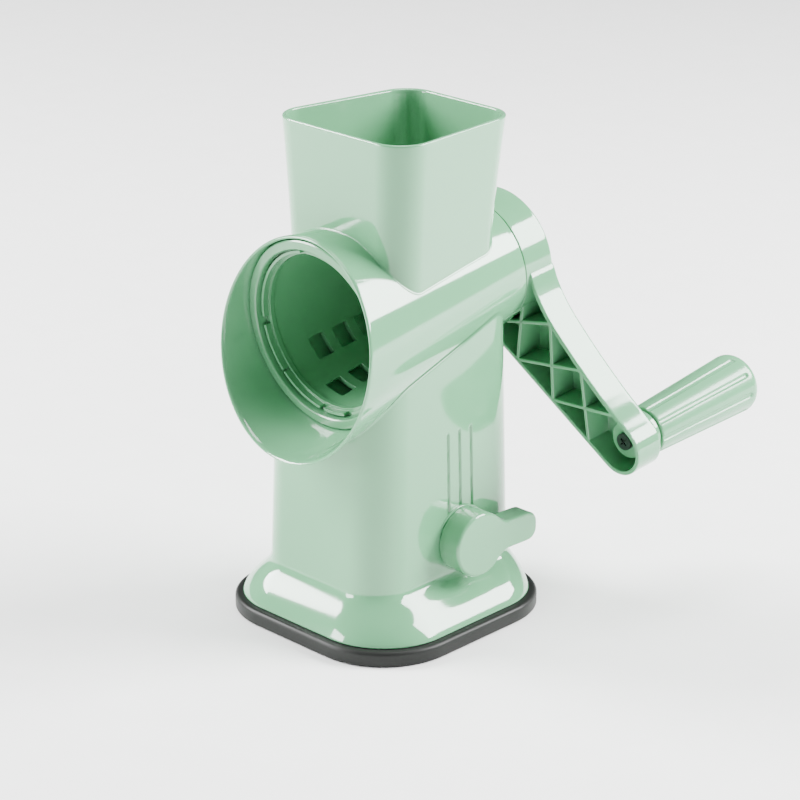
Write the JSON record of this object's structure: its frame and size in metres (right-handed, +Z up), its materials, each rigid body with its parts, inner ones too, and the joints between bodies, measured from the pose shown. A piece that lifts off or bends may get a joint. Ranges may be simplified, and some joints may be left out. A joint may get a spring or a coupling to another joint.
{
  "type": "rotary cheese grater",
  "caption": "Hand-cranked drum grater: hopper over a slanted cone barrel with an open mouth, cranked drum inside, on a column with a lever-locked rubber suction foot.",
  "frame": {"origin": "centre of the suction foot on the table", "axes": "+Z up, -Y towards the open mouth, +Y towards the crank, +X towards the suction lever"},
  "size_m": [0.1498, 0.2154, 0.228],
  "materials": {
    "mint_plastic": "glossy mint-green moulded plastic",
    "plate_plastic": "satin green moulded plastic, a shade deeper",
    "natural_plastic": "natural white slippery plastic",
    "black_rubber": "satin black rubber",
    "bright_steel": "bright stainless steel"
  },
  "bodies": {
    "housing": {"feed_hopper": "mint_plastic", "drum_barrel": "mint_plastic", "pedestal": "mint_plastic", "base_plate": "plate_plastic", "base_screws": "bright_steel", "foot_pad": "black_rubber", "suction_cup": "black_rubber", "return_spring": "bright_steel", "spindle_bush": "natural_plastic"},
    "crank": {"crank_arm": "mint_plastic", "drive_spindle": "bright_steel", "thrust_washer": "bright_steel", "spindle_clip": "bright_steel", "crank_screw": "bright_steel", "grip_axle": "bright_steel", "axle_screw": "bright_steel"},
    "drum": {"drum_shell": "plate_plastic", "drum_front_ring": "mint_plastic", "drum_back_plate": "mint_plastic"},
    "grip": {"grip_sleeve": "mint_plastic"},
    "lever": {"lever_knob": "mint_plastic", "lever_shaft": "natural_plastic", "shaft_clip": "bright_steel"},
    "stem": {"pull_stem": "natural_plastic"}
  },
  "joints": [
    {"name": "crank_spin", "type": "hinge", "parent": "housing", "child": "crank", "pos_m": [0, 0.056, 0.151], "axis": [0, 0.9925, 0.1219], "continuous": true},
    {"name": "drum_pull", "type": "slide", "parent": "crank", "child": "drum", "axis": [0, -0.9925, -0.1219], "range_m": [0, 0.135]},
    {"name": "grip_spin", "type": "hinge", "parent": "crank", "child": "grip", "pos_m": [0.07677, 0.06477, 0.0796], "axis": [0, 0.9925, 0.1219], "continuous": true},
    {"name": "lever_turn", "type": "hinge", "parent": "housing", "child": "lever", "pos_m": [0, 0.0092, 0.041], "axis": [1, 0, 0], "range_deg": [0, 90]},
    {"name": "pad_lift", "type": "slide", "parent": "housing", "child": "stem", "axis": [0, 0, 1], "range_m": [0, 0.00566], "deforming": ["suction_cup", "return_spring"]}
  ],
  "couplings": [
    {"joint": "pad_lift", "follows": "lever_turn", "m_per_rad": 0.0036013}
  ]
}
